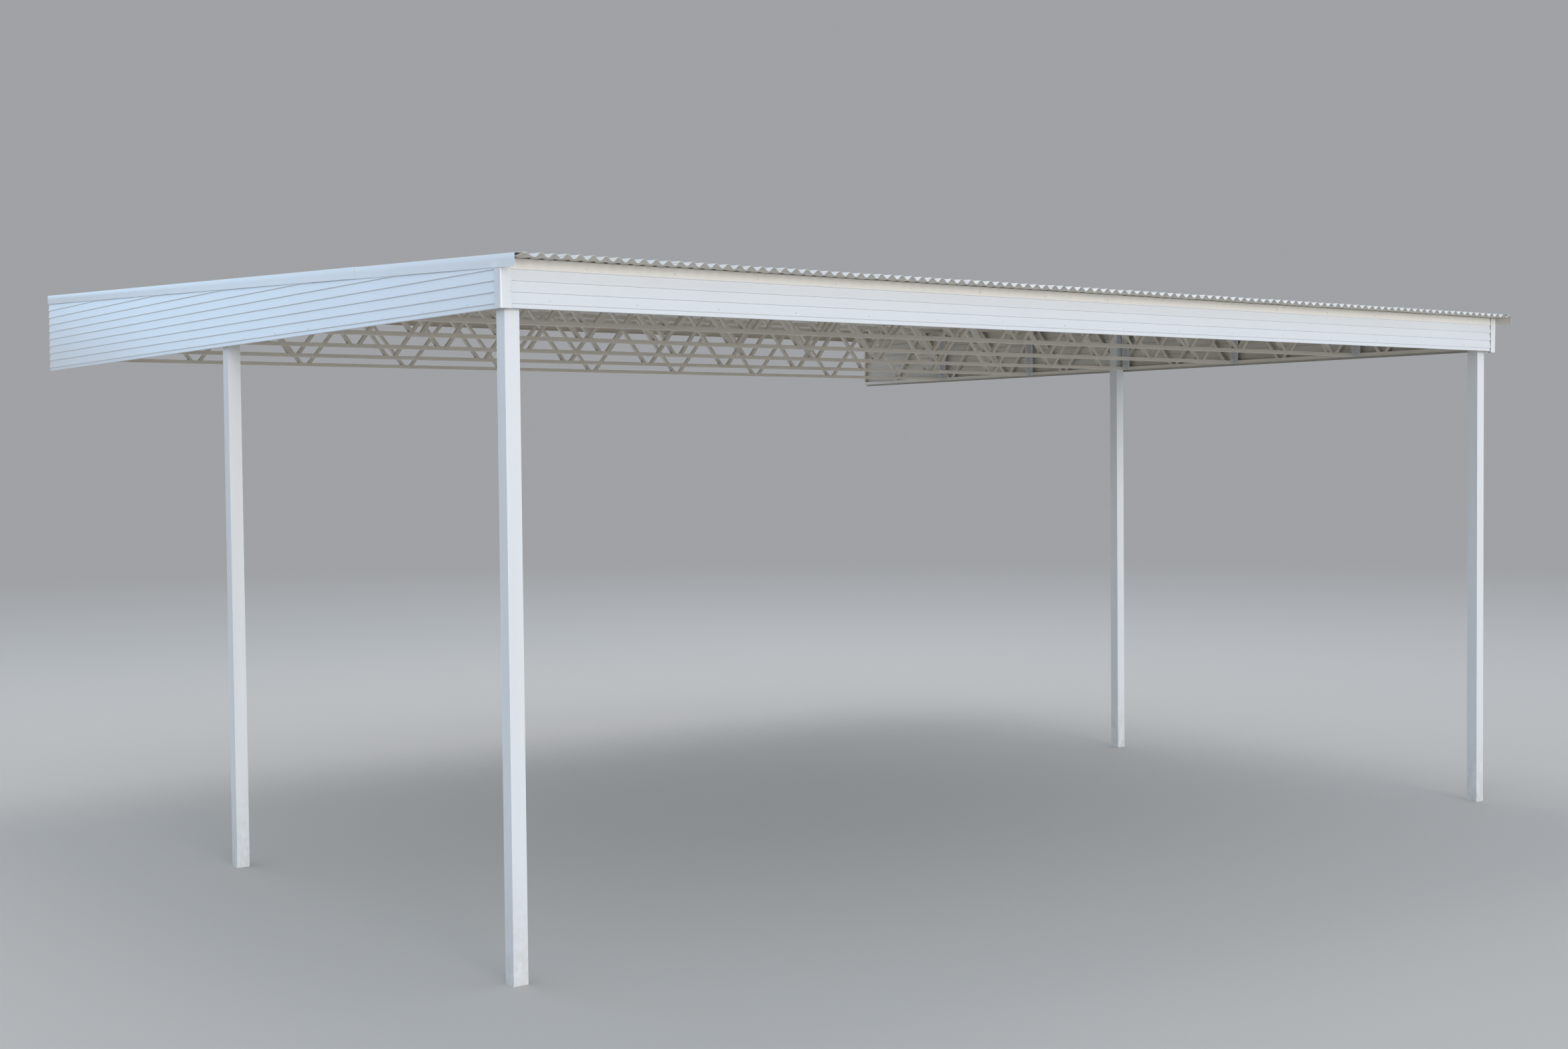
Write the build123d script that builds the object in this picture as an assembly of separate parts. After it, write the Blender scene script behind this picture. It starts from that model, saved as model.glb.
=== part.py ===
from build123d import *
import math
import os

# Attached carport: a corrugated roof on open-web joists between two lattice side
# beams, carried by four square posts in front and by a ledger on the house wall.
# Millimetres. X runs along the front, Y from the front to the wall, Z up.
# The origin lies under the middle of the roof, at the foot of the posts.

# Overall sizes
width = 7656
roof_run = 6780
clear_height = 3090
front_fascia_height = 224
roof_slope = 0.0445
sheet_overhangs = {"left": 140, "right": 123}
rake_overhangs = {"left": 135, "right": 118}
wall_clearance = 1

# Sheet metal and fits
skin = 1.0
steel = 1.6
fit_gap = 0.3

# Posts
post_side = 76
post_wall = 3
front_post_setbacks = {"left": 0, "right": 20}

# Lattice joists and beams
bay = 1130
joist_count = 5
chord_height = 24
chord_depth = 32
chord_rise = 16
bar_width = 20
joist_first_nodes = [109, 153, 244, 224, 666]
joist_node_pitches = [519, 545, 593, 695, 808]
front_first_node = 202
front_node_pitch = 480
side_first_node = 106
side_web_run = 0.87

# Joist brackets
bracket_leg = 40
bracket_steel = 2

# Corrugated sheets; the outermost wave at each side is lower, the left one wider
corrugation = 68.1
corrugation_depth = 21
edge_wave_depth = 17
left_edge_wave = 98
points_per_wave = 6
waves_per_cover = 9
first_lap_waves = 2.5
lap_lift = 2

# Fascias of lapped courses, each proud at its foot
course = 51.3
lowest_lap = 19
lap_depth = 7
lap_return = 3
flange = 25

# Trims
corner_leg = 56
corner_drops = {"left": 2, "right": 9}
rake_edge_height = 15.5
rake_height = 60
rake_lip = 64
rake_joint = 1536
rake_lap = 50

# Ledger
ledger_height = 102
ledger_depth = 38
ledger_bolts = 8
ledger_bolt_radius = 5.5
ledger_bolt_end = 150

# Reference planes worked out from the sizes above
half = width / 2
wall_y = (roof_run + max(sheet_overhangs.values())) / 2
front_y = wall_y - roof_run
chord_bottom = clear_height + chord_rise
slope_angle = math.degrees(math.atan(roof_slope))
sheet_edge = half - skin
full_waves = int((2 * sheet_edge - left_edge_wave) / corrugation)
first_valley = left_edge_wave - sheet_edge
last_valley = first_valley + full_waves * corrugation
edge_waves = {"left": left_edge_wave, "right": sheet_edge - last_valley}


def offset_path(points, thickness):
    """The path moved by the thickness to its left, with mitred corners."""
    path = [Vector(*point) for point in points]
    moved = []
    for index, here in enumerate(path):
        before = path[max(index - 1, 0)]
        after = path[min(index + 1, len(path) - 1)]
        normals = []
        for start, end in ((before, here), (here, after)):
            if (end - start).length > 0:
                run = (end - start).normalized()
                normals.append(Vector(-run.Y, run.X))
        mean = (normals[0] + normals[-1]).normalized()
        moved.append(here + mean * (thickness / mean.dot(normals[0])))
    return moved


def lapped_profile(height):
    """Bent sheet of lapped courses, as (depth, height) from outside. Each course
    leans in towards its top, and a narrow ledge under the next one comes out again."""
    lean = lap_depth / (course - lap_return)
    points = [(flange, 0), (lap_depth - lean * lowest_lap, 0)]
    lap = lowest_lap
    while lap + lap_return < height:
        points += [(lap_depth, lap), (0, lap + lap_return)]
        lap += course
    points.append((lean * (height - lap + course - lap_return), height))
    return points


# What stands behind the fascias
fascia_inset = skin + fit_gap
fascia_back = max(point.X for point in offset_path(lapped_profile(2 * course)[1:], -skin))
beam_inset = fascia_inset + fascia_back + fit_gap
inner_inset = beam_inset + chord_depth + fit_gap


def roof_under(y):
    """Height of the valleys of the roof sheets at y."""
    return clear_height + front_fascia_height + roof_slope * (y - front_y)


def save(part, node):
    """Write one named piece."""
    export_step(part, "parts/" + node + ".step")


def outline(points):
    """Closed flat face through the points."""
    return make_face(Polyline(*points, close=True))


def along_x(face, start, end):
    """Extrude a face drawn in Y and Z from one X to another."""
    return extrude(Plane.YZ.offset(start) * face, end - start)


def along_y(face, start, end):
    """Extrude a face drawn in X and Z from one Y to another."""
    return extrude(Plane.XZ.offset(-end) * face, end - start)


def up_slope(face, start, end):
    """Extrude a face drawn in X and Z at one Y up the roof slope to another Y."""
    placed = Plane.XZ.offset(-start) * face
    length = (end - start) / math.cos(math.radians(slope_angle))
    return extrude(placed, length, dir=(0, 1, roof_slope))


def folded(points, thickness):
    """Outline of a bent sheet that follows the points, its thickness to their left."""
    path = [Vector(*point) for point in points]
    return outline(path + offset_path(path, thickness)[::-1])


def mirrored(part):
    """The same piece on the other side of the carport."""
    return mirror(part, about=Plane.YZ)


# Lattices are drawn flat, with their length along local X and their height along
# local Y, and are then turned into place.
def chord(start, end, low, high, open_up):
    """A channel between two heights that may change along its length."""
    def strip(first, last, bottom, top, depth):
        corners = [(first, bottom(first)), (last, bottom(last)), (last, top(last)), (first, top(first))]
        return extrude(outline(corners), depth / 2, both=True)
    overshoot = 5
    outer = strip(start, end, low, high, chord_depth)
    if open_up:
        floor, ceiling = (lambda run: low(run) + steel), (lambda run: high(run) + overshoot)
    else:
        floor, ceiling = (lambda run: low(run) - overshoot), (lambda run: high(run) - steel)
    inner = strip(start - overshoot, end + overshoot, floor, ceiling, chord_depth - 2 * steel)
    return outer - inner


def web_bar(foot, head, low, high):
    """A bar between the flanges, from one channel's floor to the other's."""
    bottom = low(foot) + steel / 2
    top = high(head) - steel / 2
    lean = (head - foot) / (top - bottom)
    half_cut = bar_width * math.hypot(1, lean) / 2
    corners = [
        (foot - half_cut, bottom),
        (foot + half_cut, bottom),
        (head + half_cut, high(head + half_cut) - steel / 2),
        (head - half_cut, high(head - half_cut) - steel / 2),
    ]
    return extrude(outline(corners), chord_depth / 2 - steel - fit_gap, both=True)


def lattice(start, end, low, high, feet, heads):
    """Two channel chords joined by a zigzag of bars and an upright at each end."""
    pieces = [
        chord(start, end, low, lambda run: low(run) + chord_height, True),
        chord(start, end, lambda run: high(run) - chord_height, high, False),
    ]
    zigzag = sorted([(run, True) for run in feet] + [(run, False) for run in heads])
    for (run_a, foot_a), (run_b, foot_b) in zip(zigzag, zigzag[1:]):
        foot, head = (run_a, run_b) if foot_a else (run_b, run_a)
        lean = (head - foot) / (high(head) - low(foot))
        aside = math.copysign(bar_width * math.hypot(1, lean) / 2 + steel, lean)
        pieces.append(web_bar(foot + aside, head - aside, low, high))
    for upright in (start + bar_width / 2, end - bar_width / 2):
        pieces.append(web_bar(upright, upright, low, high))
    return Part() + pieces


def even_nodes(first_node, pitch, length):
    """Feet at a steady pitch, with heads half way between, inside a length."""
    half_pitches = int((length - first_node - bar_width) // (pitch / 2))
    runs = [first_node + step * pitch / 2 for step in range(-1, half_pitches + 1)]
    inside = [(run, step) for step, run in enumerate(runs) if run > bar_width]
    feet = [run for run, step in inside if step % 2 == 1]
    heads = [run for run, step in inside if step % 2 == 0]
    return feet, heads


def cross_lattice(y, low_z, high_z, end_inset, first_node, pitch):
    """A lattice that runs along X at y; nodes are measured from the left fascia."""
    length = width - 2 * end_inset
    feet, heads = even_nodes(first_node - end_inset, pitch, length)
    flat = lattice(0, length, lambda run: low_z, lambda run: high_z, feet, heads)
    return Plane(origin=(-half + end_inset, y, 0), x_dir=(1, 0, 0), z_dir=(0, -1, 0)) * flat


def joist_y(number):
    """Centre line of a joist, counted from the front."""
    return front_y + number * bay


def joist_top(y):
    """Top of a level chord centred at y, under the sloping sheets."""
    return roof_under(y - chord_depth / 2) - fit_gap


def build_joists():
    for number in range(1, joist_count + 1):
        y = joist_y(number)
        first_node = joist_first_nodes[number - 1]
        pitch = joist_node_pitches[number - 1]
        joist = cross_lattice(y, chord_bottom, joist_top(y), inner_inset, first_node, pitch)
        save(joist, "joist_" + str(number))


def build_front_beam():
    y = front_y + beam_inset + chord_depth / 2
    beam = cross_lattice(y, chord_bottom, joist_top(y), beam_inset, front_first_node, front_node_pitch)
    save(beam, "front_beam")


def build_side_beams():
    start = front_y + inner_inset
    end = wall_y - wall_clearance

    def low(y):
        return chord_bottom

    def high(y):
        return roof_under(y) - fit_gap

    nodes = [front_y + side_first_node]
    while nodes[-1] < end - bar_width:
        nodes.append(nodes[-1] + side_web_run * (high(nodes[-1]) - low(nodes[-1])))
    feet = [run for run in nodes[:-1:2]]
    heads = [run for run in nodes[1:-1:2]]
    flat = lattice(start, end, low, high, feet, heads)
    x = half - beam_inset - chord_depth / 2
    beam = Plane(origin=(x, 0, 0), x_dir=(0, 1, 0), z_dir=(1, 0, 0)) * flat
    save(beam, "side_beam_right")
    save(mirrored(beam), "side_beam_left")


def post(y_face):
    """A square tube behind the given face, on the right, up to the roof sheets."""
    outer = half - inner_inset
    x = outer - post_side / 2
    y = y_face + post_side / 2
    height = roof_under(y_face) - fit_gap
    tube = Rectangle(post_side, post_side) - Rectangle(post_side - 2 * post_wall, post_side - 2 * post_wall)
    return extrude(Plane.XY * Pos(x, y) * tube, height)


def build_posts():
    middle_joist = (joist_count + 1) / 2
    middle_face = joist_y(middle_joist) + chord_depth / 2 + fit_gap
    front_face = front_y + inner_inset
    save(post(front_face + front_post_setbacks["right"]), "post_front_right")
    save(mirrored(post(front_face + front_post_setbacks["left"])), "post_front_left")
    save(post(middle_face), "post_middle_right")
    save(mirrored(post(middle_face)), "post_middle_left")


def build_brackets():
    """Upright angles that hold the joist ends to the side beams."""
    right = []
    for number in range(1, joist_count + 1):
        face_y = joist_y(number) - chord_depth / 2 - fit_gap
        end_x = half - inner_inset
        corner = [
            (end_x - bracket_leg, face_y),
            (end_x - bracket_leg, face_y - bracket_steel),
            (end_x - bracket_steel, face_y - bracket_steel),
            (end_x - bracket_steel, face_y - bracket_leg),
            (end_x, face_y - bracket_leg),
            (end_x, face_y),
        ]
        height = roof_under(face_y - bracket_leg) - fit_gap - chord_bottom
        right.append(extrude(Plane.XY.offset(chord_bottom) * outline(corner), height))
    save(Compound(children=right), "joist_brackets_right")
    save(Compound(children=[mirrored(piece) for piece in right]), "joist_brackets_left")


def wave(x):
    """Height of the corrugation above the valleys, at x."""
    if x < first_valley:
        depth, turn = edge_wave_depth, (x + sheet_edge) / edge_waves["left"]
    elif x > last_valley:
        depth, turn = edge_wave_depth, (sheet_edge - x) / edge_waves["right"]
    else:
        depth, turn = corrugation_depth, (x - first_valley) / corrugation
    return depth * (1 - math.cos(2 * math.pi * turn)) / 2


def wave_corners():
    """Where the facets of the corrugation meet, across the whole roof."""
    shares = [count / points_per_wave for count in range(points_per_wave)]
    left = [first_valley - share * edge_waves["left"] for share in reversed(shares[1:])]
    right = [last_valley + share * edge_waves["right"] for share in shares]
    middle = [first_valley + (wave_count + share) * corrugation
              for wave_count in range(full_waves) for share in shares]
    return left + middle + right


def roof_sheet(start, end, corners, lift):
    """One sheet from start to end, with the lift at each x that its laps need. The front
    edges step back a little from sheet to sheet, from the left overhang to the right."""
    inside = [x for x in corners if start < x < end]
    share = (start + sheet_edge) / (2 * sheet_edge)
    overhang = sheet_overhangs["left"] * (1 - share) + sheet_overhangs["right"] * share
    base = roof_under(front_y - overhang)
    points = [(x, base + wave(x) + lift(x)) for x in [start] + inside + [end]]
    return up_slope(folded(points, skin), front_y - overhang, wall_y - wall_clearance)


def build_roof():
    """Each sheet ends a quarter wave past the crests where it laps its neighbours,
    over the sheet on its left and under the sheet on its right."""
    cover = waves_per_cover * corrugation
    quarter = corrugation / 4
    laps = [first_valley + first_lap_waves * corrugation]
    while laps[-1] + cover < last_valley:
        laps.append(laps[-1] + cover)
    corners = wave_corners()
    first = roof_sheet(-sheet_edge, laps[0] + quarter, corners, lambda x: 0)
    save(first, "roof_sheet_01")
    ends = [lap + quarter for lap in laps[1:]] + [sheet_edge]
    for number, (lap, end) in enumerate(zip(laps, ends), start=2):
        sheet = roof_sheet(lap - quarter, end, corners, lambda x: lap_lift * max(0, 1 - (x - lap) / cover))
        save(sheet, "roof_sheet_" + format(number, "02d"))


def build_front_fascia():
    y = front_y + fascia_inset
    height = front_fascia_height - fit_gap
    points = [(y + depth, clear_height + rise) for depth, rise in lapped_profile(height)]
    face = folded(points[::-1], skin)
    end = half - fascia_inset
    save(along_x(face, -end, end), "front_fascia")


def build_side_fascias():
    x = half - fascia_inset
    start = front_y + fascia_inset + flange + fit_gap
    end = wall_y - wall_clearance
    full_height = roof_under(end) - clear_height
    points = [(x - depth, clear_height + rise) for depth, rise in lapped_profile(full_height)]
    blank = along_y(folded(points, skin), start, end)
    room = 2 * flange
    top_cut = outline([
        (start - room, clear_height - room),
        (end + room, clear_height - room),
        (end + room, roof_under(end + room) - fit_gap),
        (start - room, roof_under(start - room) - fit_gap),
    ])
    fascia = blank & along_x(top_cut, x - room, x + room)
    save(fascia, "side_fascia_right")
    save(mirrored(fascia), "side_fascia_left")


def build_corner_trims():
    top = roof_under(front_y) - fit_gap
    points = [(half - corner_leg, front_y), (half, front_y), (half, front_y + corner_leg)]
    face = folded(points, skin)
    for side, drop in corner_drops.items():
        bottom = clear_height - drop
        trim = extrude(Plane.XY.offset(bottom) * face, top - bottom)
        save(trim if side == "right" else mirrored(trim), "corner_trim_" + side)


def rake(side, start, end, outward):
    """Edge trim over the side of the sheets; outward counts the laps outside it. Its
    lip rises from the outer fold to rest on the outermost crest."""
    x = half + fit_gap + outward * (skin + fit_gap)
    top = roof_under(start) + rake_edge_height + outward * (skin + fit_gap)
    crest_rise = edge_wave_depth + skin + 2 * fit_gap - rake_edge_height
    lip_slope = crest_rise / (skin + edge_waves[side] / 2)
    points = [
        (x, top - rake_height),
        (x, top),
        (half - rake_lip, top + lip_slope * (x - half + rake_lip)),
    ]
    return up_slope(folded(points[::-1], skin), start, end)


def build_rakes():
    for side, overhang in rake_overhangs.items():
        front = rake(side, front_y - overhang, front_y + rake_joint + rake_lap, 0)
        rear = rake(side, front_y + rake_joint, wall_y - wall_clearance, 1)
        for place, trim in (("front", front), ("rear", rear)):
            save(trim if side == "right" else mirrored(trim), "rake_trim_" + place + "_" + side)


def build_ledger():
    """Channel on the wall, open towards the front, with a row of bolt holes."""
    end = half - inner_inset
    top = roof_under(wall_y - ledger_depth) - fit_gap
    points = [
        (wall_y - ledger_depth, top),
        (wall_y, top),
        (wall_y, top - ledger_height),
        (wall_y - ledger_depth, top - ledger_height),
    ]
    ledger = along_x(folded(points[::-1], steel), -end, end)
    spacing = 2 * (end - ledger_bolt_end) / (ledger_bolts - 1)
    middle = top - ledger_height / 2
    for number in range(ledger_bolts):
        x = -end + ledger_bolt_end + number * spacing
        hole = Plane(origin=(x, wall_y, middle), z_dir=(0, -1, 0)) * Cylinder(ledger_bolt_radius, 4 * steel)
        ledger -= hole
    save(ledger, "wall_ledger")


os.makedirs("parts", exist_ok=True)
build_posts()
build_joists()
build_front_beam()
build_side_beams()
build_brackets()
build_roof()
build_front_fascia()
build_side_fascias()
build_corner_trims()
build_rakes()
build_ledger()
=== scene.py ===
import math
import random

import bmesh
import bpy
from mathutils import Matrix, Vector


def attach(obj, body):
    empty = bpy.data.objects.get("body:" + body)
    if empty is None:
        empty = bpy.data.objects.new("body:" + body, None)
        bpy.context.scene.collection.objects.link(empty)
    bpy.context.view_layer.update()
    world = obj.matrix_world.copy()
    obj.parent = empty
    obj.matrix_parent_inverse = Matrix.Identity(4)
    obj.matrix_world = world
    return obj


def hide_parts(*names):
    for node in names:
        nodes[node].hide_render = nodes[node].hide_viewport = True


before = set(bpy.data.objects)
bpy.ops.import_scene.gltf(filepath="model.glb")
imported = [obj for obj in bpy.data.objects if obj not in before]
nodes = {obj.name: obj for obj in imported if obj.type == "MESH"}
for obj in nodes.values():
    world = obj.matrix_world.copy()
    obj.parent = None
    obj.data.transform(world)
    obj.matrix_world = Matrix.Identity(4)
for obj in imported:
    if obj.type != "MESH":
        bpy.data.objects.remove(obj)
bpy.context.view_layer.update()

# Sizes of the solids in metres, in their own frame: X runs along the front, Y from the
# front to the wall, Z up, and the origin is under the middle of the roof
HALF = 3.828
FRONT = -3.320
WALL = 3.460
CLEAR = 3.090
FASCIA = 0.224
SLOPE = 0.0445
SHEET_OVERHANGS = {"left": 0.140, "right": 0.123}
WALL_GAP = 0.001
SKIN = 0.001
FIT = 0.0003
FLANGE = 0.025
COURSE = 0.0513
LOWEST_LAP = 0.019
LAP_DEPTH = 0.007
LAP_RETURN = 0.003
FASCIA_BACK = 0.0081
WAVE = 0.0681
WAVE_DEPTH = 0.021
EDGE_WAVE_DEPTH = 0.017
LEFT_EDGE_WAVE = 0.098
SHEET_WAVES = 9
FIRST_LAP_WAVES = 2.5
LAP_LIFT = 0.002
JOISTS = 5
BAY = 1.130
CHORD = 0.024
CHORD_DEPTH = 0.032
CHORD_BOTTOM = CLEAR + 0.016
BAR = 0.020
BRACKET_LEG = 0.040
BRACKET_STEEL = 0.002
CORNER_LEG = 0.056
CORNER_DROPS = {"left": 0.002, "right": 0.009}
RAKE_OVERHANGS = {"left": 0.135, "right": 0.118}
RAKE_EDGE = 0.0155
RAKE_HEIGHT = 0.060
RAKE_LIP = 0.064
RAKE_JOINT = 1.536
RAKE_LAP = 0.050
FIRST_NODES = [0.109, 0.153, 0.244, 0.224, 0.666]
NODE_PITCHES = [0.519, 0.545, 0.593, 0.695, 0.808]

# Sizes worked out from the ones above
INSET = SKIN + FIT
BEAM_INSET = INSET + FASCIA_BACK + FIT
INNER_INSET = BEAM_INSET + CHORD_DEPTH + FIT
SHEET_EDGE = HALF - SKIN
FULL_WAVES = int((2 * SHEET_EDGE - LEFT_EDGE_WAVE) / WAVE)
FIRST_VALLEY = LEFT_EDGE_WAVE - SHEET_EDGE
LAST_VALLEY = FIRST_VALLEY + FULL_WAVES * WAVE
EDGE_WAVES = {"left": LEFT_EDGE_WAVE, "right": SHEET_EDGE - LAST_VALLEY}
LEAN = LAP_DEPTH / (COURSE - LAP_RETURN)
TOP_LAP = LOWEST_LAP + 3 * COURSE

# Radii of the bends in sheet metal, and the most that a bend takes of the runs beside it.
# The fold of a corner trim widens from its high end to its low end.
PANEL_BEND = 0.0012
RAKE_BEND = 0.004
CORNER_BEND_HIGH = 0.004
CORNER_BEND_LOW = 0.012
BEND_SHARE = 0.45

# The shallow kink in the lower edge of the left front rake
KINK_Y = -3.280
KINK_HALF = 0.025
KINK_DEPTH = 0.0012

# How finely the meshes are divided: in parts, in metres for the length of the rakes, and in
# shares of a rake's height for its leg
POINTS_PER_WAVE = 16
SHEET_PARTS = 6
FRONT_PARTS = 32
SIDE_PARTS = 28
CORNER_PARTS = 8
RAKE_PART = 0.015
RAKE_LEG_SHARES = (0.45, 0.6, 0.7, 0.8, 0.9, 1)

# How much higher than the roof the side panels are drawn, before they are cut to it
CUT_ROOM = 0.02

# Edges that turn by more degrees than this stay sharp
SHARP = 35
SCREW_SHARP = 25

# Radii of the heads and washers of the screws, and the most that one is turned by chance
WEB_SCREW = (0.0034, 0.0050)
BRACKET_SCREW = (0.0040, 0.0055)
FASCIA_SCREW = (0.0034, 0.0047)
CORNER_SCREW = (0.0030, 0.0042)
ROOF_SCREW = (0.0044, 0.0070)
WASHER_SIDES = 12
HEAD_SIDES = 6
MOST_TURN = 6.28

# Places of the screws in the joists: beside each node of the web, and near both ends of the
# lower chord, as (distance, rise) from a start next to the bracket
NODE_SCREW_ASIDE = 0.022
END_SCREW_START = 0.042
END_SCREWS = ((0.024, 0.005), (0.047, -0.005), (0.070, 0.005), (0.093, -0.005))

# In the brackets: rows about a pitch apart, each with one screw in the leg on the joist and
# two in the leg on the side beam, as (distance, rise)
BRACKET_SCREW_PITCH = 0.07
LEAST_BRACKET_ROWS = 3
JOIST_LEG_SCREW = 0.022
BEAM_LEG_SCREWS = ((0.015, 0.012), (0.030, -0.004))

# In the fascias: rows as (distance of the first, pitch, count, height)
FRONT_SCREW_ROWS = ((0.452, 0.4905, 15, 0.192), (0.258, 0.4690, 16, 0.037))
SIDE_SCREW_ROW = (0.318, 0.455, 14, 0.031)

# In the corner trims: distance from the corner, and heights
CORNER_SCREW_ASIDE = 0.0476
CORNER_SCREW_HEIGHTS = (0.0775, 0.180)

# In the roof: one in every third valley, at about the middle of the lift of the laps
VALLEYS_PER_SCREW = 3
LEDGER_SCREW_INSET = 0.02
ROOF_SCREW_LIFT = 0.0011

# Paint: the coat on the inside, a warm tint on the top course in front that is painted light (bounce
# light in the shade under the roof's overhang), and how high dirt splashes
BACK_COAT = (0.66, 0.62, 0.55)
# Painted bounce light: the warm colour of the top course in front, in the shade of the overhang
PAINTED_BOUNCE_WHITE = (0.84, 0.81, 0.755)
SPLASH_HEIGHT = 0.55

# Background, floor and sky; the floor fades between two distances, and the colours of the
# sky go over into each other between two heights, as shares of the zenith's
BACK = (0.35, 0.36, 0.375)
FLOOR_COLOUR = (0.60, 0.57, 0.53)
FLOOR_HALF = 90
FADE_START = 9.0
FADE_END = 34.0
SKY_FOOT = (0.60, 0.78, 1.0)
SKY_TOP = (0.80, 0.86, 0.95)
SKY_RISE = (0.10, 0.9)
LOW_BAND = (0.36, 0.38, 0.41)
BAND_EDGE = (0.070, 0.090)
SKY_STRENGTH = 0.86

# Camera matched to the photograph: place in metres, turns in degrees, lens in millimetres
CAMERA_SPOT = (-8.07441, -11.10365, 2.39501)
CAMERA_YAW = 36.79134
CAMERA_PITCH = -1.90022
CAMERA_ROLL = -0.53850
CAMERA_LENS = 44.8239
CAMERA_SENSOR = 36.0
CAMERA_REACH = 300


def roof_under(y):
    """Height of the valleys of the roof sheets at y."""
    return CLEAR + FASCIA + SLOPE * (y - FRONT)


def joist_y(number):
    """Centre line of a joist, counted from the front."""
    return FRONT + number * BAY


def evenly(start, end, parts):
    """The ends of equal parts of a run."""
    return [start + (end - start) * step / parts for step in range(parts + 1)]


# Shader nodes

def shader(name):
    """A new material with its tree and its surface shader."""
    made = bpy.data.materials.new(name)
    made.use_nodes = True
    tree = made.node_tree
    return made, tree, tree.nodes["Principled BSDF"]


def feed(tree, socket, value):
    """Join the socket to another one, or set it to a value."""
    if isinstance(value, bpy.types.NodeSocket):
        tree.links.new(value, socket)
    else:
        socket.default_value = value


def add(tree, kind, settings=None, **inputs):
    """A node with its settings, and its inputs joined to sockets or set to values."""
    made = tree.nodes.new(kind)
    for key, value in (settings or {}).items():
        setattr(made, key, value)
    for key, value in inputs.items():
        feed(tree, made.inputs[key.replace("_", " ")], value)
    return made


def compute(tree, kind, operation, *values):
    """Number that a node of maths works out from sockets or numbers."""
    made = add(tree, kind, {"operation": operation})
    for socket, value in zip(made.inputs, values):
        feed(tree, socket, value)
    return made.outputs["Value"]


def times(tree, one, other):
    return compute(tree, "ShaderNodeMath", "MULTIPLY", one, other)


def remap(tree, value, low, high, start=0.0, end=1.0):
    """Number that goes from start to end as the value goes from low to high."""
    made = add(tree, "ShaderNodeMapRange", {"clamp": True}, Value=value, From_Min=low, From_Max=high,
               To_Min=start, To_Max=end)
    return made.outputs["Result"]


def mix(tree, share, one, other):
    """Colour that goes from one to other with share."""
    made = add(tree, "ShaderNodeMix", {"data_type": "RGBA"})
    feed(tree, made.inputs[0], share)
    for socket, colour in ((made.inputs[6], one), (made.inputs[7], other)):
        feed(tree, socket, (*colour, 1.0) if isinstance(colour, tuple) else colour)
    return made.outputs[2]


def take_over(tree, share, first, second, output):
    """Lead two shaders to the output, where the second takes over with share."""
    blend = tree.nodes.new("ShaderNodeMixShader")
    for socket, source in zip(blend.inputs, (share, first.outputs[0], second.outputs[0])):
        tree.links.new(source, socket)
    tree.links.new(blend.outputs[0], tree.nodes[output].inputs["Surface"])


def place(tree, stretch=(1, 1, 1)):
    """Object coordinates in metres, stretched."""
    where = add(tree, "ShaderNodeTexCoord").outputs["Object"]
    return add(tree, "ShaderNodeMapping", Vector=where, Scale=stretch).outputs["Vector"]


def normal(tree):
    """The direction that the surface faces."""
    return add(tree, "ShaderNodeNewGeometry").outputs["Normal"]


def along(tree, axis, vector):
    """How far a vector goes along an axis."""
    return add(tree, "ShaderNodeSeparateXYZ", Vector=vector).outputs[axis]


def noise(tree, scale, detail=3.0, stretch=(1, 1, 1), roughness=0.5):
    where = place(tree, stretch)
    made = add(tree, "ShaderNodeTexNoise", Vector=where, Scale=scale, Detail=detail,
               Roughness=roughness)
    return made.outputs["Fac"]


def bump(tree, height, strength, distance):
    made = add(tree, "ShaderNodeBump", Height=height, Strength=strength, Distance=distance)
    return made.outputs["Normal"]


def looks_in(tree):
    """One on faces that look towards the middle of the carport, nought on the others."""
    towards = compute(tree, "ShaderNodeVectorMath", "DOT_PRODUCT", normal(tree), place(tree, (1, 1, 0)))
    return remap(tree, towards, -0.6, -0.2, start=1.0, end=0.0)


def top_course(tree):
    """One on the highest course of the front panel, nought elsewhere; there the warm bounce light is
    painted.
    """
    start = CLEAR + TOP_LAP
    high = remap(tree, along(tree, "Z", place(tree)), start, start + LAP_RETURN)
    forward = remap(tree, along(tree, "Y", normal(tree)), -0.6, -0.4, start=1.0, end=0.0)
    return times(tree, high, forward)


def seen_directly(tree):
    """One for rays that show the background: of the camera, of gloss and through glass."""
    rays = add(tree, "ShaderNodeLightPath").outputs
    found = rays["Is Camera Ray"]
    for kind in ("Is Glossy Ray", "Is Transmission Ray"):
        found = compute(tree, "ShaderNodeMath", "MAXIMUM", found, rays[kind])
    return found


# Materials

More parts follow.
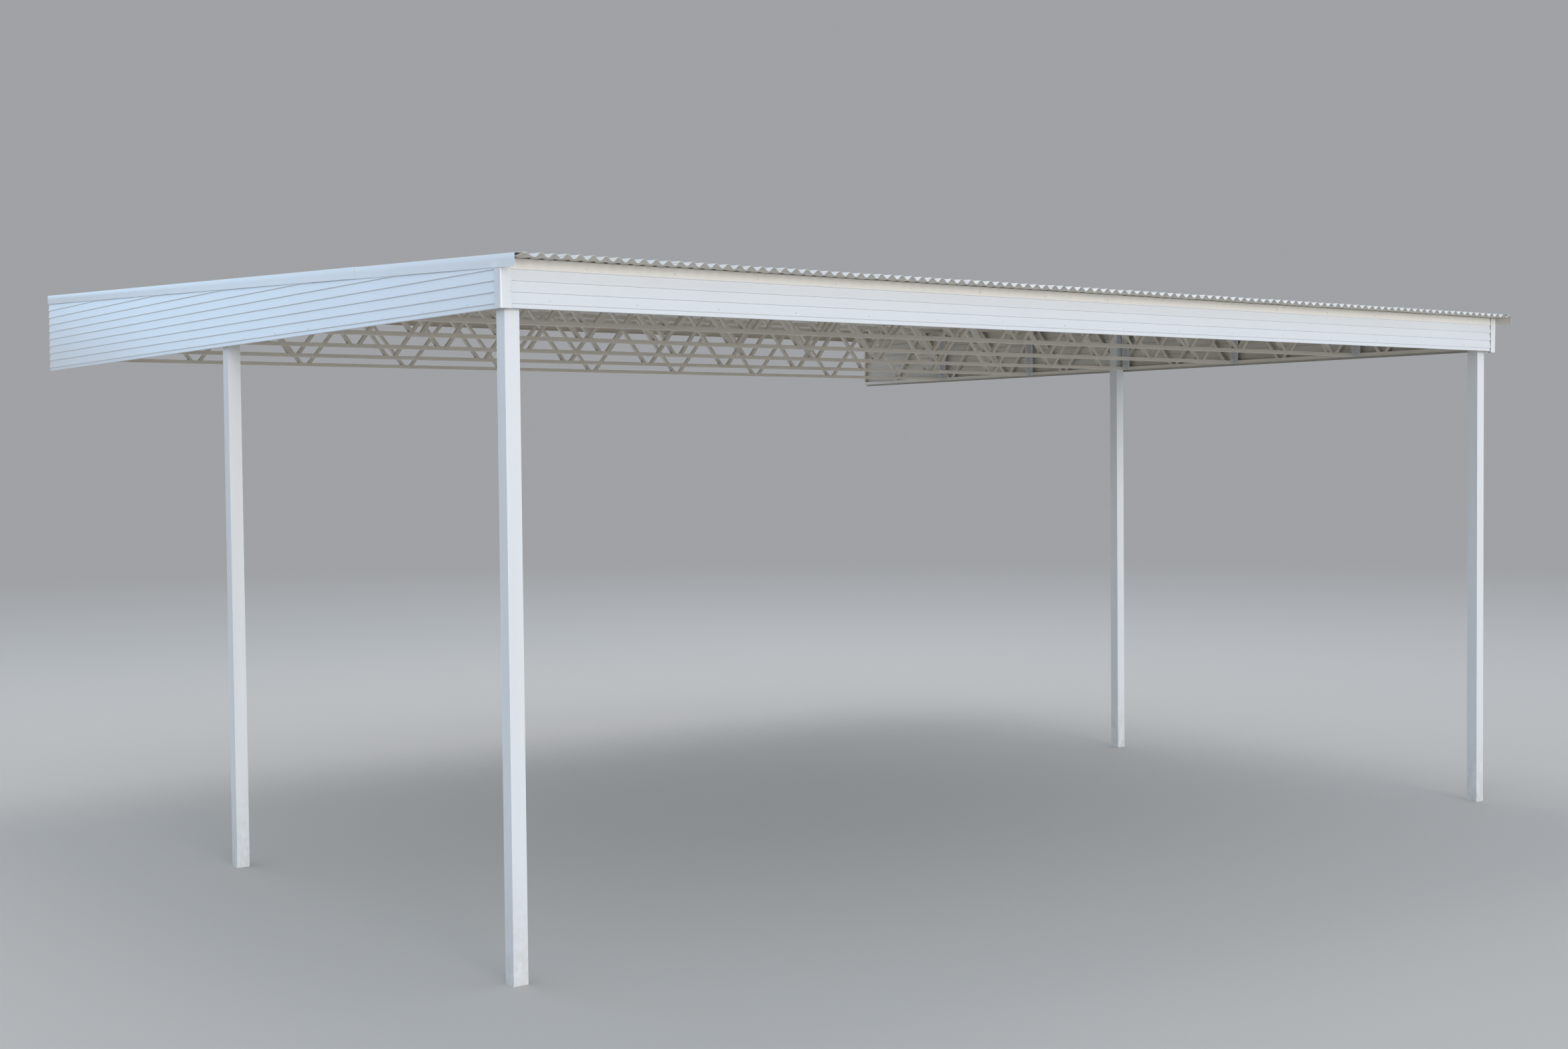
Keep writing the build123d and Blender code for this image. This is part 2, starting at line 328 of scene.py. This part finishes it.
def painted(name, colour, grime, rough, streak=(9, 9, 0.7), ripple=1.3, dirt=0.08, low_dirt=0.0,
            back=None, painted_bounce_top=None):
    """Factory paint on thin steel with faint streaks of dust and soft ripples. It may have
    splashes near the ground, another coat inside and a top course in front tinted warm, which is
    painted bounce light in the shade of the overhang."""
    made, tree, surface = shader(name)
    streaks = noise(tree, scale=2.0, detail=4.0, stretch=streak)
    colour_now = mix(tree, remap(tree, streaks, 0.40, 0.80, end=dirt), colour, grime)
    # Painted light: the top course in front gets a warm tint for the bounce light in the overhang's
    # shade
    if painted_bounce_top:
        colour_now = mix(tree, top_course(tree), colour_now, painted_bounce_top)
    if back:
        colour_now = mix(tree, looks_in(tree), colour_now, back)
    if low_dirt:
        near = remap(tree, along(tree, "Z", place(tree)), 0.0, SPLASH_HEIGHT, start=1.0, end=0.0)
        spots = noise(tree, scale=22.0, detail=8.0, stretch=(1, 1, 0.6), roughness=0.7)
        splash = times(tree, near, remap(tree, spots, 0.35, 0.75))
        colour_now = mix(tree, times(tree, splash, low_dirt), colour_now, grime)
    waves = bump(tree, noise(tree, scale=ripple, detail=1.0), strength=0.30, distance=0.004)
    tree.links.new(colour_now, surface.inputs["Base Color"])
    tree.links.new(waves, surface.inputs["Normal"])
    surface.inputs["Roughness"].default_value = rough
    surface.inputs["IOR"].default_value = 1.48
    return made


def roof_paint(name):
    """White above with dust along the crests and valleys, a warm primer coat below."""
    made, tree, surface = shader(name)
    up = along(tree, "Z", normal(tree))
    cloud = remap(tree, noise(tree, scale=2.1, detail=5.0, stretch=(1, 0.25, 1)), 0.4, 0.75)
    top = mix(tree, cloud, (0.78, 0.78, 0.77), (0.72, 0.715, 0.69))
    runs = noise(tree, scale=7.0, detail=7.0, stretch=(3, 0.22, 1), roughness=0.65)
    dust = times(tree, remap(tree, up, 0.93, 0.999), remap(tree, runs, 0.42, 0.72, end=0.34))
    top = mix(tree, dust, top, (0.42, 0.40, 0.36))
    stain = remap(tree, noise(tree, scale=3.0, detail=5.0, stretch=(1, 0.4, 1)), 0.35, 0.7)
    below = mix(tree, stain, BACK_COAT, (0.60, 0.565, 0.50))
    ripples = noise(tree, scale=2.5, detail=2.0, stretch=(1, 0.5, 1))
    waves = bump(tree, ripples, strength=0.4, distance=0.003)
    tree.links.new(mix(tree, remap(tree, up, -0.1, 0.1), below, top), surface.inputs["Base Color"])
    tree.links.new(waves, surface.inputs["Normal"])
    surface.inputs["Roughness"].default_value = 0.42
    return made


def zinc(name, light, dark, rough, metal):
    """Galvanized or plated steel with a faint crystal pattern."""
    made, tree, surface = shader(name)
    spangle = add(tree, "ShaderNodeTexVoronoi", Vector=place(tree), Scale=130.0)
    shade = add(tree, "ShaderNodeSeparateColor", Color=spangle.outputs["Color"]).outputs["Red"]
    cloud = noise(tree, scale=9.0, detail=5.0)
    colour_now = mix(tree, times(tree, shade, cloud), light, dark)
    tree.links.new(colour_now, surface.inputs["Base Color"])
    rough_now = remap(tree, shade, 0.0, 1.0, start=rough, end=rough + 0.15)
    tree.links.new(rough_now, surface.inputs["Roughness"])
    surface.inputs["Metallic"].default_value = metal
    return made


# The front panel's top course is tinted warm: painted bounce light under the overhang
fascia_paint = painted(
    "fascia_paint", colour=(0.770, 0.785, 0.805), grime=(0.52, 0.50, 0.46), rough=0.16,
    streak=(1.2, 1.2, 0.8), ripple=0.9, dirt=0.07, back=BACK_COAT, painted_bounce_top=PAINTED_BOUNCE_WHITE)
trim_paint = painted(
    "trim_paint", colour=(0.785, 0.795, 0.810), grime=(0.50, 0.48, 0.44), rough=0.18,
    streak=(2, 2, 2), ripple=2.0, dirt=0.06, back=BACK_COAT)
post_paint = painted(
    "post_paint", colour=(0.790, 0.800, 0.810), grime=(0.40, 0.35, 0.28), rough=0.30,
    streak=(6, 6, 0.4), ripple=1.2, dirt=0.08, low_dirt=0.50)
web_paint = painted(
    "web_paint", colour=(0.780, 0.715, 0.625), grime=(0.45, 0.41, 0.35), rough=0.34,
    streak=(1.5, 1.5, 3), ripple=5.0, dirt=0.16)
screw_paint = painted(
    "screw_paint", colour=(0.760, 0.770, 0.785), grime=(0.45, 0.43, 0.40), rough=0.25)
sheet_paint = roof_paint("sheet_paint")
bracket_zinc = zinc(
    "bracket_zinc", light=(0.76, 0.77, 0.78), dark=(0.66, 0.67, 0.68), rough=0.40, metal=0.35)
web_screw_zinc = zinc(
    "web_screw_zinc", light=(0.78, 0.78, 0.77), dark=(0.68, 0.68, 0.67), rough=0.34, metal=0.30)
roof_screw_zinc = zinc(
    "roof_screw_zinc", light=(0.56, 0.56, 0.55), dark=(0.44, 0.44, 0.43), rough=0.34, metal=0.70)


# Meshes

def piece(name, verts, faces, material, sharp=SHARP):
    """A named mesh that rides with the carport."""
    mesh = bpy.data.meshes.new(name)
    mesh.from_pydata(verts, [], faces)
    mesh.validate()
    mesh.shade_smooth()
    mesh.set_sharp_from_angle(angle=math.radians(sharp))
    mesh.materials.append(material)
    made = bpy.data.objects.new(name, mesh)
    bpy.context.scene.collection.objects.link(made)
    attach(made, "root")
    return made


def rounded(points, radius, steps=3):
    """The polyline with a smooth bend at each inner corner."""
    path = [Vector(points[0])]
    for before, here, after in zip(points, points[1:], points[2:]):
        before, here, after = Vector(before), Vector(here), Vector(after)
        back, on = (before - here), (after - here)
        turn = math.pi - back.angle(on)
        cut = min(radius * math.tan(turn / 2), back.length * BEND_SHARE, on.length * BEND_SHARE)
        start, end = here + back.normalized() * cut, here + on.normalized() * cut
        for share in evenly(0, 1, steps):
            path.append(start * (1 - share) ** 2 + here * 2 * share * (1 - share) + end * share ** 2)
    path.append(Vector(points[-1]))
    return path


def bent_sheet(points):
    """Closed outline of sheet metal that follows the path, its thickness to the left."""
    far_side = []
    for index, here in enumerate(points):
        before, after = points[max(index - 1, 0)], points[min(index + 1, len(points) - 1)]
        sideways = []
        for start, end in ((before, here), (here, after)):
            if (end - start).length > 0:
                run = (end - start).normalized()
                sideways.append(Vector((-run.y, run.x)))
        mean = (sideways[0] + sideways[-1]).normalized()
        far_side.append(here + mean * (SKIN / mean.dot(sideways[0])))
    return list(points) + far_side[::-1]


def skinned(levels):
    """Vertices and faces of a closed body whose cross-sections are the levels, each of
    them an outline of sheet metal."""
    verts = [vert for level in levels for vert in level]
    count = len(levels[0])
    faces = []
    for level in range(len(levels) - 1):
        for index in range(count):
            after = (index + 1) % count
            low, high = level * count, (level + 1) * count
            faces.append((low + index, low + after, high + after, high + index))
    for level, flip in ((0, True), (len(levels) - 1, False)):
        for index in range(count // 2 - 1):
            across = (index, index + 1, count - 2 - index, count - 1 - index)
            ids = [level * count + number for number in across]
            faces.append(tuple(reversed(ids)) if flip else tuple(ids))
    return verts, faces


def facing_out(obj):
    """Turn every face of a closed mesh outwards, and mark its sharp edges."""
    work = bmesh.new()
    work.from_mesh(obj.data)
    bmesh.ops.recalc_face_normals(work, faces=work.faces)
    work.to_mesh(obj.data)
    work.free()
    obj.data.set_sharp_from_angle(angle=math.radians(SHARP))


def on_side(side, verts):
    """Vertices that are drawn on the right, or their mirror image for the left."""
    return verts if side == "right" else [(-x, y, z) for x, y, z in verts]


# Roof sheets with round corrugations

def wave(x):
    """Height of the corrugation above the valleys, at x."""
    if x < FIRST_VALLEY:
        depth, turn = EDGE_WAVE_DEPTH, (x + SHEET_EDGE) / EDGE_WAVES["left"]
    elif x > LAST_VALLEY:
        depth, turn = EDGE_WAVE_DEPTH, (SHEET_EDGE - x) / EDGE_WAVES["right"]
    else:
        depth, turn = WAVE_DEPTH, (x - FIRST_VALLEY) / WAVE
    return depth * (1 - math.cos(2 * math.pi * turn)) / 2


def build_sheets():
    """Sheets that end a quarter wave past the crests where they lap, each over the one on
    its left. Their front edges step back a little from left to right."""
    cover = SHEET_WAVES * WAVE
    laps = [FIRST_VALLEY + FIRST_LAP_WAVES * WAVE]
    while laps[-1] + cover < LAST_VALLEY:
        laps.append(laps[-1] + cover)
    starts = [-SHEET_EDGE] + [lap - WAVE / 4 for lap in laps]
    ends = [lap + WAVE / 4 for lap in laps] + [SHEET_EDGE]
    for number, (start, end) in enumerate(zip(starts, ends), start=1):
        share = (start + SHEET_EDGE) / (2 * SHEET_EDGE)
        front = FRONT - SHEET_OVERHANGS["left"] * (1 - share) - SHEET_OVERHANGS["right"] * share
        path = []
        for x in evenly(start, end, round((end - start) / (WAVE / POINTS_PER_WAVE))):
            lift = 0.0
            if number > 1:
                lift = LAP_LIFT * max(0.0, 1 - (x - laps[number - 2]) / cover)
            path.append(Vector((x, wave(x) + lift)))
        outline = bent_sheet(path)
        levels = []
        for y in evenly(front, WALL - WALL_GAP, SHEET_PARTS):
            levels.append([(point.x, y, point.y + roof_under(y)) for point in outline])
        verts, faces = skinned(levels)
        name = "roof_sheet_" + format(number, "02d")
        sheet = piece("steel_" + name, verts, faces, sheet_paint)
        facing_out(sheet)
        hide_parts(name)


# Fascia panels with rounded bends

def courses(height):
    """Flange and lapped courses as (depth, height); each course leans in towards its top."""
    points = [(FLANGE, 0), (LAP_DEPTH - LEAN * LOWEST_LAP, 0)]
    lap = LOWEST_LAP
    while lap + LAP_RETURN < height:
        points += [(LAP_DEPTH, lap), (0, lap + LAP_RETURN)]
        lap += COURSE
    points.append((LEAN * (height - lap + COURSE - LAP_RETURN), height))
    return points


def panel_depth(height):
    """How far the face of a course lies behind the foot of the courses."""
    return LEAN * ((height - LOWEST_LAP - LAP_RETURN) % COURSE)


def build_front_fascia():
    """The front panel, whose ends are hidden behind the corner trims."""
    y = FRONT + INSET
    path = [(y + depth, CLEAR + rise) for depth, rise in courses(FASCIA - FIT)]
    outline = bent_sheet(rounded(path[::-1], PANEL_BEND))
    end = HALF - INSET - CORNER_BEND_LOW
    levels = []
    for x in evenly(-end, end, FRONT_PARTS):
        levels.append([(x, point.x, point.y) for point in outline])
    verts, faces = skinned(levels)
    fascia = piece("panel_front_fascia", verts, faces, fascia_paint)
    facing_out(fascia)
    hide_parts("front_fascia")


def cut_to_roof(obj):
    """Cut off what stands higher than the underside of the roof, and close the cut."""
    work = bmesh.new()
    work.from_mesh(obj.data)
    everything = work.verts[:] + work.edges[:] + work.faces[:]
    cut = bmesh.ops.bisect_plane(work, geom=everything, plane_co=(0, 0, roof_under(0) - FIT),
                                 plane_no=(0, -SLOPE, 1), clear_outer=True)
    open_edges = [item for item in cut["geom_cut"] if isinstance(item, bmesh.types.BMEdge)]
    bmesh.ops.triangle_fill(work, edges=open_edges, use_beauty=True)
    work.to_mesh(obj.data)
    work.free()


def build_side_fascias():
    """Side panels, drawn higher than the roof and cut to its slope."""
    start = FRONT + INSET + FLANGE + FIT
    end = WALL - WALL_GAP
    x = HALF - INSET
    height = roof_under(end) - CLEAR + CUT_ROOM
    path = [(x - depth, CLEAR + rise) for depth, rise in courses(height)]
    outline = bent_sheet(rounded(path, PANEL_BEND))
    levels = []
    for y in evenly(start, end, SIDE_PARTS):
        levels.append([(point.x, y, point.y) for point in outline])
    verts, faces = skinned(levels)
    for side in ("left", "right"):
        name = "side_fascia_" + side
        fascia = piece("panel_" + name, on_side(side, verts), faces, fascia_paint)
        cut_to_roof(fascia)
        facing_out(fascia)
        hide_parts(name)


# Trims with rounded bends

def build_corner_trims():
    """Angles over the front corners, which reach down a little below the panels."""
    top = roof_under(FRONT) - FIT
    path = [(HALF - CORNER_LEG, FRONT), (HALF, FRONT), (HALF, FRONT + CORNER_LEG)]
    for side, drop in CORNER_DROPS.items():
        bottom = CLEAR - drop
        levels = []
        for share in evenly(0, 1, CORNER_PARTS):
            bend = CORNER_BEND_LOW * (1 - share) + CORNER_BEND_HIGH * share
            z = bottom + (top - bottom) * share
            outline = bent_sheet(rounded(path, bend, steps=6))
            levels.append([(point.x, point.y, z) for point in outline])
        verts, faces = skinned(levels)
        name = "corner_trim_" + side
        trim = piece("folded_" + name, on_side(side, verts), faces, trim_paint)
        facing_out(trim)
        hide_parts(name)


def kink(y, below):
    """How far the lower edge of the left front rake stands out, at y and below its fold."""
    near = math.exp(-((y - KINK_Y) / KINK_HALF) ** 2)
    return KINK_DEPTH * near * max(0.0, below / RAKE_HEIGHT - 0.5) * 2


def build_rakes():
    """Trims over the side edges of the roof; the rear one laps the front one outside."""
    rise = EDGE_WAVE_DEPTH + SKIN + 2 * FIT - RAKE_EDGE
    for side, overhang in RAKE_OVERHANGS.items():
        lip_slope = rise / (SKIN + EDGE_WAVES[side] / 2)
        runs = {
            "front": (FRONT - overhang, FRONT + RAKE_JOINT + RAKE_LAP, 0),
            "rear": (FRONT + RAKE_JOINT, WALL - WALL_GAP, 1),
        }
        for spot, (start, end, outward) in runs.items():
            offset = outward * (SKIN + FIT)
            top = roof_under(start) + RAKE_EDGE + offset
            x = HALF + FIT + offset
            lip = (HALF - RAKE_LIP, top + lip_slope * (x - HALF + RAKE_LIP))
            leg = [Vector((x, top - RAKE_HEIGHT * share)) for share in RAKE_LEG_SHARES]
            path = rounded([lip, (x, top), leg[0]], RAKE_BEND, steps=4) + leg[1:]
            outline = bent_sheet(path)
            levels = []
            for y in evenly(start, end, round((end - start) / RAKE_PART)):
                lift = SLOPE * (y - start)
                level = []
                for point in outline:
                    out = kink(y, top - point.y) if side == "left" else 0
                    level.append((point.x + out, y, point.y + lift))
                levels.append(level)
            verts, faces = skinned(levels)
            name = spot + "_" + side
            trim = piece("folded_rake_" + name, on_side(side, verts), faces, trim_paint)
            facing_out(trim)
            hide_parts("rake_trim_" + name)


# Screws

def screw_shape(head, rim):
    """Washer and six-sided head, standing on Z, as rings of (radius, height, sides)."""
    return [
        (rim, 0.0, WASHER_SIDES),
        (rim, rim * 0.12, WASHER_SIDES),
        (rim * 0.80, rim * 0.24, WASHER_SIDES),
        (head, rim * 0.24, HEAD_SIDES),
        (head, rim * 0.78, HEAD_SIDES),
        (head * 0.80, rim * 0.90, HEAD_SIDES),
    ]


def screws(name, spots, size, material):
    """One mesh of many screws, each spot a point and the direction it faces."""
    verts, faces = [], []
    chance = random.Random(len(spots))
    shape = screw_shape(*size)
    for point, out in spots:
        upright = Vector(out).normalized().to_track_quat("Z", "Y").to_matrix()
        turn = upright @ Matrix.Rotation(chance.uniform(0, MOST_TURN), 3, "Z")
        rings = []
        for radius, height, sides in shape:
            rings.append(range(len(verts), len(verts) + sides))
            for step in range(sides):
                angle = 2 * math.pi * step / sides
                local = Vector((radius * math.cos(angle), radius * math.sin(angle), height))
                verts.append(tuple(Vector(point) + turn @ local))
        for low, high in zip(rings, rings[1:]):
            if len(low) == len(high):
                for step in range(len(low)):
                    after = (step + 1) % len(low)
                    faces.append((low[step], low[after], high[after], high[step]))
        washer_foot, washer_top, head_top = rings[0], rings[2], rings[-1]
        faces.append(tuple(head_top))
        faces.append(tuple(washer_top))
        faces.append(tuple(reversed(washer_foot)))
    piece(name, verts, faces, material, sharp=SCREW_SHARP)


def node_runs(first, pitch, length):
    """Where the web meets the chords: feet and heads, along a lattice."""
    half_pitches = int((length - first - BAR) // (pitch / 2))
    runs = [first + step * pitch / 2 for step in range(-1, half_pitches + 1)]
    inside = [(run, step) for step, run in enumerate(runs) if run > BAR]
    feet = [run for run, step in inside if step % 2 == 1]
    heads = [run for run, step in inside if step % 2 == 0]
    return feet, heads


def build_web_screws():
    end = HALF - INNER_INSET
    spots = []
    for number, (first_node, pitch) in enumerate(zip(FIRST_NODES, NODE_PITCHES), start=1):
        y = joist_y(number)
        feet, heads = node_runs(first_node - INNER_INSET, pitch, 2 * end)
        top = roof_under(y - CHORD_DEPTH / 2) - FIT
        low_z, high_z = CHORD_BOTTOM + CHORD / 2, top - CHORD / 2
        for way in (-1, 1):
            face = y + way * CHORD_DEPTH / 2
            for runs, z in ((feet, low_z), (heads, high_z)):
                for run in runs:
                    for aside in (-NODE_SCREW_ASIDE, NODE_SCREW_ASIDE):
                        spots.append(((-end + run + aside, face, z), (0, way, 0)))
            for side in (-1, 1):
                for run, rise in END_SCREWS:
                    x = side * (end - END_SCREW_START - run)
                    spots.append(((x, face, low_z + rise), (0, way, 0)))
    screws("web_screws", spots, WEB_SCREW, web_screw_zinc)


def build_bracket_screws():
    spots = []
    for number in range(1, JOISTS + 1):
        face = joist_y(number) - CHORD_DEPTH / 2 - FIT
        height = roof_under(face - BRACKET_LEG) - FIT - CHORD_BOTTOM
        rows = max(LEAST_BRACKET_ROWS, round(height / BRACKET_SCREW_PITCH))
        for side in (-1, 1):
            end = side * (HALF - INNER_INSET)
            for row in range(rows):
                z = CHORD_BOTTOM + height * (row + 0.5) / rows
                spots.append(((end - side * JOIST_LEG_SCREW, face - BRACKET_STEEL, z), (0, -1, 0)))
                for run, rise in BEAM_LEG_SCREWS:
                    spots.append(((end - side * BRACKET_STEEL, face - run, z + rise), (-side, 0, 0)))
    screws("bracket_screws", spots, BRACKET_SCREW, web_screw_zinc)


def build_fascia_screws():
    spots = []
    for first, pitch, count, height in FRONT_SCREW_ROWS:
        y = FRONT + INSET + panel_depth(height)
        for step in range(count):
            spots.append(((-HALF + first + pitch * step, y, CLEAR + height), (0, -1, 0)))
    screws("fascia_screws_front", spots, FASCIA_SCREW, screw_paint)
    first, pitch, count, height = SIDE_SCREW_ROW
    for word, side in (("left", -1), ("right", 1)):
        x = side * (HALF - INSET - panel_depth(height))
        spots = []
        for step in range(count):
            spots.append(((x, FRONT + first + pitch * step, CLEAR + height), (side, 0, 0)))
        screws("fascia_screws_" + word, spots, FASCIA_SCREW, screw_paint)
        spots = []
        for rise in CORNER_SCREW_HEIGHTS:
            spots.append(((side * (HALF - CORNER_SCREW_ASIDE), FRONT, CLEAR + rise), (0, -1, 0)))
        screws("corner_screws_" + word, spots, CORNER_SCREW, screw_paint)


def build_roof_screws():
    """Screws over the front beam, each joist and the ledger."""
    lines = [FRONT + BEAM_INSET + CHORD_DEPTH / 2]
    lines += [joist_y(number) for number in range(1, JOISTS + 1)]
    lines.append(WALL - LEDGER_SCREW_INSET)
    out = Vector((0, -SLOPE, 1)).normalized()
    spots = []
    for y in lines:
        for valley in range(1, FULL_WAVES, VALLEYS_PER_SCREW):
            x = FIRST_VALLEY + valley * WAVE
            spots.append(((x, y, roof_under(y) + SKIN + ROOF_SCREW_LIFT), out))
    screws("roof_screws", spots, ROOF_SCREW, roof_screw_zinc)


build_sheets()
build_front_fascia()
build_side_fascias()
build_corner_trims()
build_rakes()
build_web_screws()
build_bracket_screws()
build_fascia_screws()
build_roof_screws()

# The solids that keep their shape get their finish; the first name that fits counts
FINISHES = {
    "post": post_paint,
    "joist_brackets": bracket_zinc,
    "joist": web_paint,
    "front_beam": web_paint,
    "side_beam": web_paint,
    "wall_ledger": web_paint,
}
for name, obj in nodes.items():
    fitting = [finish for start, finish in FINISHES.items() if name.startswith(start)]
    if fitting:
        for slot in obj.material_slots:
            slot.material = fitting[0]


# Floor, background and light

def build_floor():
    """A plain floor that goes over into the background far from the carport."""
    corners = [(-1, -1), (1, -1), (1, 1), (-1, 1)]
    mesh = bpy.data.meshes.new("floor")
    mesh.from_pydata([(x * FLOOR_HALF, y * FLOOR_HALF, 0) for x, y in corners], [], [(0, 1, 2, 3)])
    made, tree, surface = shader("floor_paint")
    surface.inputs["Base Color"].default_value = (*FLOOR_COLOUR, 1)
    surface.inputs["Roughness"].default_value = 0.9
    surface.inputs["Specular IOR Level"].default_value = 0.15
    glow = add(tree, "ShaderNodeEmission", Color=(*BACK, 1), Strength=1.0)
    where = add(tree, "ShaderNodeTexCoord").outputs["Object"]
    far = compute(tree, "ShaderNodeVectorMath", "LENGTH", where)
    fade = remap(tree, far, FADE_START, FADE_END)
    fade.node.interpolation_type = "SMOOTHSTEP"
    take_over(tree, times(tree, fade, seen_directly(tree)), surface, glow, "Material Output")
    mesh.materials.append(made)
    floor = bpy.data.objects.new("floor", mesh)
    bpy.context.scene.collection.objects.link(floor)


def build_world():
    """A soft sky over a low band of grey, which lights the object; the camera, gloss and
    glass see the plain background in its place."""
    world = bpy.data.worlds.new("studio")
    world.use_nodes = True
    bpy.context.scene.world = world
    tree = world.node_tree
    rise = along(tree, "Z", add(tree, "ShaderNodeTexCoord").outputs["Generated"])
    sky = mix(tree, remap(tree, rise, *SKY_RISE), SKY_FOOT, SKY_TOP)
    sky = mix(tree, remap(tree, rise, *BAND_EDGE), LOW_BAND, sky)
    light = tree.nodes["Background"]
    tree.links.new(sky, light.inputs["Color"])
    light.inputs["Strength"].default_value = SKY_STRENGTH
    plain_back = add(tree, "ShaderNodeBackground", Color=(*BACK, 1), Strength=1.0)
    take_over(tree, seen_directly(tree), light, plain_back, "World Output")


def aim(made, spot, target):
    """Stand a lamp at the spot, turned to the target and hidden from the camera."""
    made.location = spot
    made.rotation_euler = (Vector(target) - Vector(spot)).to_track_quat("-Z", "Y").to_euler()
    made.visible_camera = False
    bpy.context.scene.collection.objects.link(made)


def lamp(name, spot, target, size, power, colour):
    """A round soft box."""
    data = bpy.data.lights.new(name, "AREA")
    data.shape = "DISK"
    data.size = size
    data.energy = power
    data.color = colour
    aim(bpy.data.objects.new(name, data), spot, target)


def far_lamp(name, spot, width, strength, colour):
    """Light from far away on the side of the spot, as wide as an angle in degrees."""
    data = bpy.data.lights.new(name, "SUN")
    data.angle = math.radians(width)
    data.energy = strength
    data.color = colour
    aim(bpy.data.objects.new(name, data), spot, (0, 0, 0))


build_floor()
build_world()
far_lamp("front", spot=(-2.5, -15, 1.6), width=24, strength=1.68, colour=(1.0, 0.97, 0.93))
far_lamp("sheen", spot=(-5.8, 14.5, 4.7), width=25, strength=0.32, colour=(0.42, 0.70, 1.0))
lamp("above", spot=(2, 5, 16), target=(0, 0, 3.4), size=8, power=480, colour=(1.0, 0.985, 0.96))


def build_camera():
    yaw, pitch, roll = (math.radians(turn) for turn in (CAMERA_YAW, CAMERA_PITCH, CAMERA_ROLL))
    flat = math.cos(pitch)
    forward = Vector((math.sin(yaw) * flat, math.cos(yaw) * flat, math.sin(pitch)))
    level = Vector((math.cos(yaw), -math.sin(yaw), 0))
    above = level.cross(forward)
    right = level * math.cos(roll) + above * math.sin(roll)
    up = above * math.cos(roll) - level * math.sin(roll)
    data = bpy.data.cameras.new("camera")
    data.sensor_fit = "HORIZONTAL"
    data.sensor_width = CAMERA_SENSOR
    data.lens = CAMERA_LENS
    data.clip_end = CAMERA_REACH
    made = bpy.data.objects.new("camera", data)
    turn = Matrix((right, up, -forward)).transposed().to_4x4()
    made.matrix_world = Matrix.Translation(CAMERA_SPOT) @ turn
    bpy.context.scene.collection.objects.link(made)
    bpy.context.scene.camera = made


build_camera()
bpy.context.scene.view_settings.view_transform = "Standard"
